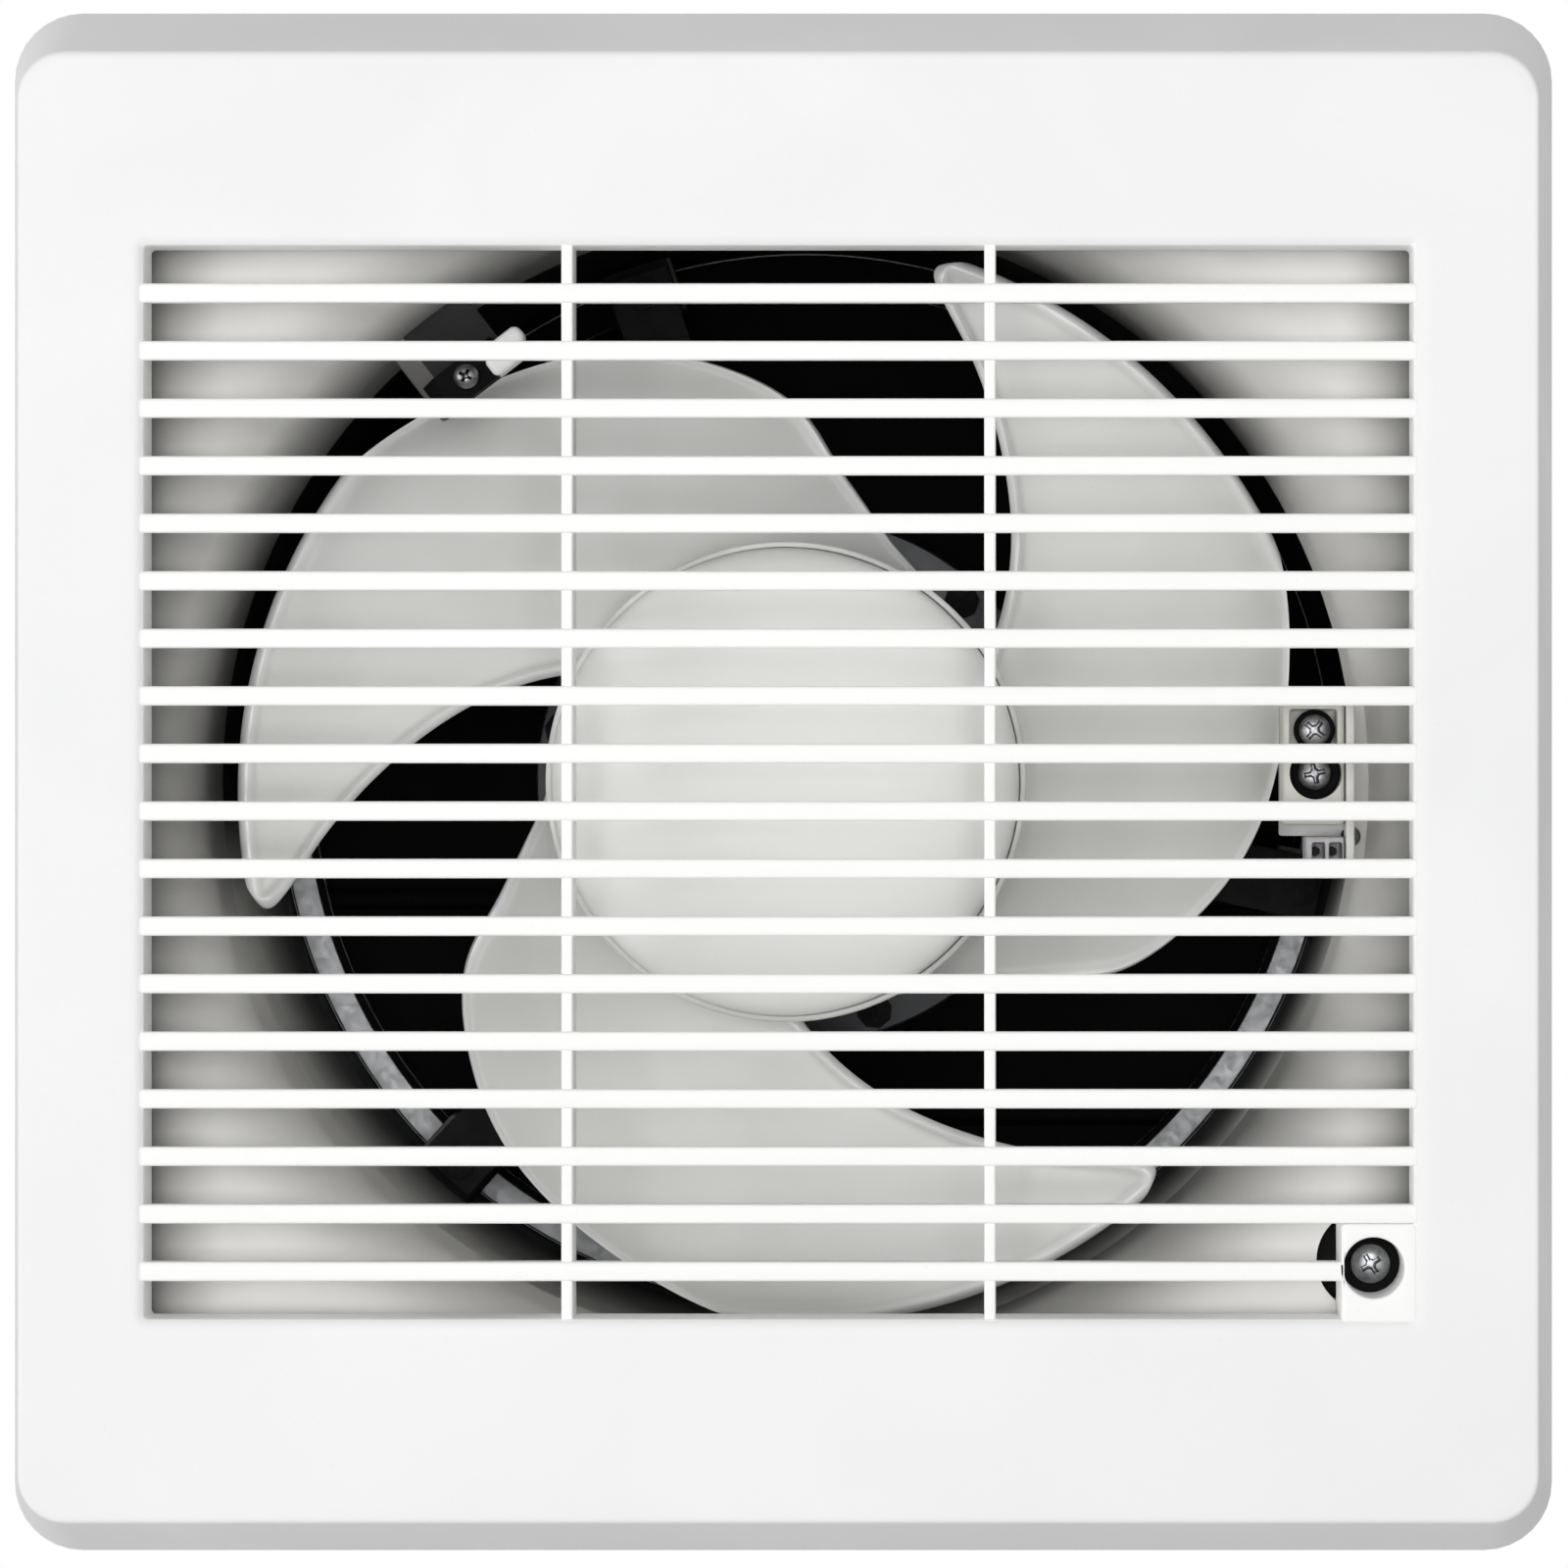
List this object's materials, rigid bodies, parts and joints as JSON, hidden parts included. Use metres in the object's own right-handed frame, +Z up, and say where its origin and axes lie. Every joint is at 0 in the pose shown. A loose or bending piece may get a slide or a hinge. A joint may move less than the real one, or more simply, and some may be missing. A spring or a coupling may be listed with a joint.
{
  "type": "window exhaust fan",
  "caption": "Square window exhaust fan with a louvred room-side cover, bell-mouth housing, swept-blade impeller, duct sleeve and gravity shutter.",
  "frame": {"origin": "on the fan axis, in the plane of the room side of the glass that the fan clamps", "axes": "+Z up, +Y along the fan axis out of the room, +X to the right as seen from the room"},
  "size_m": [0.271, 0.138, 0.271],
  "materials": {
    "cover_plastic": "moulded white ABS, fine satin gloss",
    "housing_plastic": "moulded warm light grey ABS, satin",
    "blade_plastic": "moulded light grey plastic, satin",
    "cap_plastic": "moulded pale grey plastic, soft gloss",
    "black_plastic": "moulded black plastic",
    "outer_plastic": "moulded light grey ABS",
    "terminal_plastic": "moulded grey nylon",
    "seal_rubber": "extruded black rubber",
    "lead_sheath": "black PVC sheath",
    "black_steel": "black painted steel",
    "motor_steel": "dark painted steel",
    "lamination": "stacked electrical steel",
    "copper_wire": "enamelled copper winding",
    "bearing_steel": "ground steel",
    "zinc_steel": "zinc plated steel",
    "brass": "turned brass"
  },
  "bodies": {
    "fan_body": {"front_cover": "cover_plastic", "cover_screw": "zinc_steel", "fan_housing": "housing_plastic", "cable_grommet": "seal_rubber", "inner_seal": "seal_rubber", "terminal_block": "terminal_plastic", "terminal_screw_1": "brass", "terminal_screw_2": "brass", "terminal_cover": "black_plastic", "terminal_cover_screw_1": "zinc_steel", "terminal_cover_screw_2": "zinc_steel", "cord_clamp": "cover_plastic", "clamp_screw": "black_steel", "outer_seal": "seal_rubber", "clamp_flange": "outer_plastic", "duct_sleeve": "black_plastic", "shutter_frame": "outer_plastic", "tie_screw_1": "zinc_steel", "tie_screw_2": "zinc_steel", "tie_screw_3": "zinc_steel", "tie_screw_4": "zinc_steel", "motor_front_shell": "motor_steel", "motor_rear_shell": "motor_steel", "front_bearing": "bearing_steel", "rear_bearing": "bearing_steel", "stator_core": "lamination", "winding_front": "copper_wire", "winding_rear": "copper_wire", "motor_screw_1": "black_steel", "motor_screw_2": "black_steel", "motor_screw_3": "black_steel", "motor_mount": "black_steel", "mount_screw_1": "black_steel", "mount_screw_2": "black_steel", "mount_screw_3": "black_steel", "motor_lead": "lead_sheath"},
    "rotor": {"impeller": "blade_plastic", "hub_cap": "cap_plastic", "nut_washer": "zinc_steel", "impeller_nut": "zinc_steel", "drive_pin": "bearing_steel", "motor_shaft": "bearing_steel", "rotor_core": "lamination"},
    "flap_1": {"shutter_flap_1": "black_plastic"},
    "flap_2": {"shutter_flap_2": "black_plastic"},
    "flap_3": {"shutter_flap_3": "black_plastic"},
    "flap_4": {"shutter_flap_4": "black_plastic"},
    "flap_5": {"shutter_flap_5": "black_plastic"}
  },
  "joints": [
    {"name": "impeller_spin", "type": "hinge", "parent": "fan_body", "child": "rotor", "pos_m": [0, 0, 0], "axis": [0, -1, 0], "continuous": true},
    {"name": "flap_1_hinge", "type": "hinge", "parent": "fan_body", "child": "flap_1", "pos_m": [0, 0.106, 0.1051], "axis": [1, 0, 0], "range_deg": [0, 75]},
    {"name": "flap_2_hinge", "type": "hinge", "parent": "fan_body", "child": "flap_2", "pos_m": [0, 0.106, 0.0621], "axis": [1, 0, 0], "range_deg": [0, 75]},
    {"name": "flap_3_hinge", "type": "hinge", "parent": "fan_body", "child": "flap_3", "pos_m": [0, 0.106, 0.0191], "axis": [1, 0, 0], "range_deg": [0, 75]},
    {"name": "flap_4_hinge", "type": "hinge", "parent": "fan_body", "child": "flap_4", "pos_m": [0, 0.106, -0.0239], "axis": [1, 0, 0], "range_deg": [0, 75]},
    {"name": "flap_5_hinge", "type": "hinge", "parent": "fan_body", "child": "flap_5", "pos_m": [0, 0.106, -0.0669], "axis": [1, 0, 0], "range_deg": [0, 75]}
  ]
}
